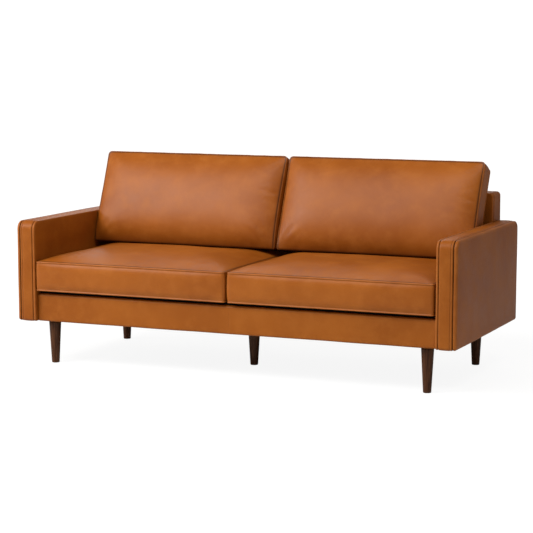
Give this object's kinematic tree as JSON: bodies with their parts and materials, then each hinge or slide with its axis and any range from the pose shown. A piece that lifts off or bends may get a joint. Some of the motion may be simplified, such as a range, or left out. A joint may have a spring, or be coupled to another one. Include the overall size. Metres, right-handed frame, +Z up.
{
  "type": "sofa",
  "caption": "Low leather sofa with slim upright arms, loose boxed seat and back cushions, an upholstered back frame and tapered round wooden legs.",
  "frame": {"origin": "on the floor under the middle of the sofa's overall box", "axes": "+X along the sofa towards its left-hand arm as one sits in it, -Y the way the seat faces, +Z up"},
  "size_m": [1.85, 0.82, 0.8184],
  "materials": {
    "frame_leather": "tan leather, fine grain, soft sheen",
    "cushion_leather": "tan leather, fine grain, soft sheen",
    "frame_timber": "sawn pale timber, unfinished",
    "leg_walnut": "dark walnut stain, satin",
    "black_cloth": "black woven lining cloth",
    "steel": "plain steel"
  },
  "bodies": {
    "frame": {"arm_left_outer_panel": "frame_leather", "arm_left_inner_panel": "frame_leather", "arm_left_front_strip": "frame_leather", "arm_left_top_strip": "frame_leather", "arm_left_rear_strip": "frame_leather", "arm_right_outer_panel": "frame_leather", "arm_right_inner_panel": "frame_leather", "arm_right_front_strip": "frame_leather", "arm_right_top_strip": "frame_leather", "arm_right_rear_strip": "frame_leather", "back_inner_panel": "frame_leather", "back_outer_panel": "frame_leather", "back_left_strip": "frame_leather", "back_top_strip": "frame_leather", "back_right_strip": "frame_leather", "front_rail_cover": "frame_leather", "arm_left_front_post": "frame_timber", "arm_left_rear_post": "frame_timber", "arm_left_top_rail": "frame_timber", "arm_left_bottom_rail": "frame_timber", "arm_right_front_post": "frame_timber", "arm_right_rear_post": "frame_timber", "arm_right_top_rail": "frame_timber", "arm_right_bottom_rail": "frame_timber", "back_left_post": "frame_timber", "back_right_post": "frame_timber", "back_centre_post": "frame_timber", "back_top_rail": "frame_timber", "back_bottom_rail": "frame_timber", "front_rail": "frame_timber", "rear_rail": "frame_timber", "side_rail_left": "frame_timber", "side_rail_right": "frame_timber", "centre_rail": "frame_timber", "corner_block_front_left": "frame_timber", "corner_block_front_right": "frame_timber", "corner_block_rear_left": "frame_timber", "corner_block_rear_right": "frame_timber", "seat_spring_1": "steel", "seat_spring_2": "steel", "seat_spring_3": "steel", "seat_spring_4": "steel", "seat_spring_5": "steel", "seat_spring_6": "steel", "leg_plate_front_left": "steel", "leg_plate_front_right": "steel", "leg_plate_rear_left": "steel", "leg_plate_rear_right": "steel", "leg_plate_centre": "steel", "leg_front_left": "leg_walnut", "leg_front_right": "leg_walnut", "leg_rear_left": "leg_walnut", "leg_rear_right": "leg_walnut", "leg_centre": "leg_walnut", "seat_deck": "black_cloth", "dust_cover": "black_cloth"},
    "seat_cushion_left": {"seat_cushion_left": "cushion_leather"},
    "seat_cushion_right": {"seat_cushion_right": "cushion_leather"},
    "back_cushion_left": {"back_cushion_left": "cushion_leather"},
    "back_cushion_right": {"back_cushion_right": "cushion_leather"}
  },
  "joints": [
    {"name": "seat_cushion_left_pull", "type": "slide", "parent": "frame", "child": "seat_cushion_left", "axis": [0, -1, 0], "range_m": [0, 0.72]},
    {"name": "seat_cushion_right_pull", "type": "slide", "parent": "frame", "child": "seat_cushion_right", "axis": [0, -1, 0], "range_m": [0, 0.72]},
    {"name": "back_cushion_left_lift", "type": "slide", "parent": "frame", "child": "back_cushion_left", "axis": [0, 0, 1], "range_m": [0, 0.4]},
    {"name": "back_cushion_right_lift", "type": "slide", "parent": "frame", "child": "back_cushion_right", "axis": [0, 0, 1], "range_m": [0, 0.4]}
  ]
}
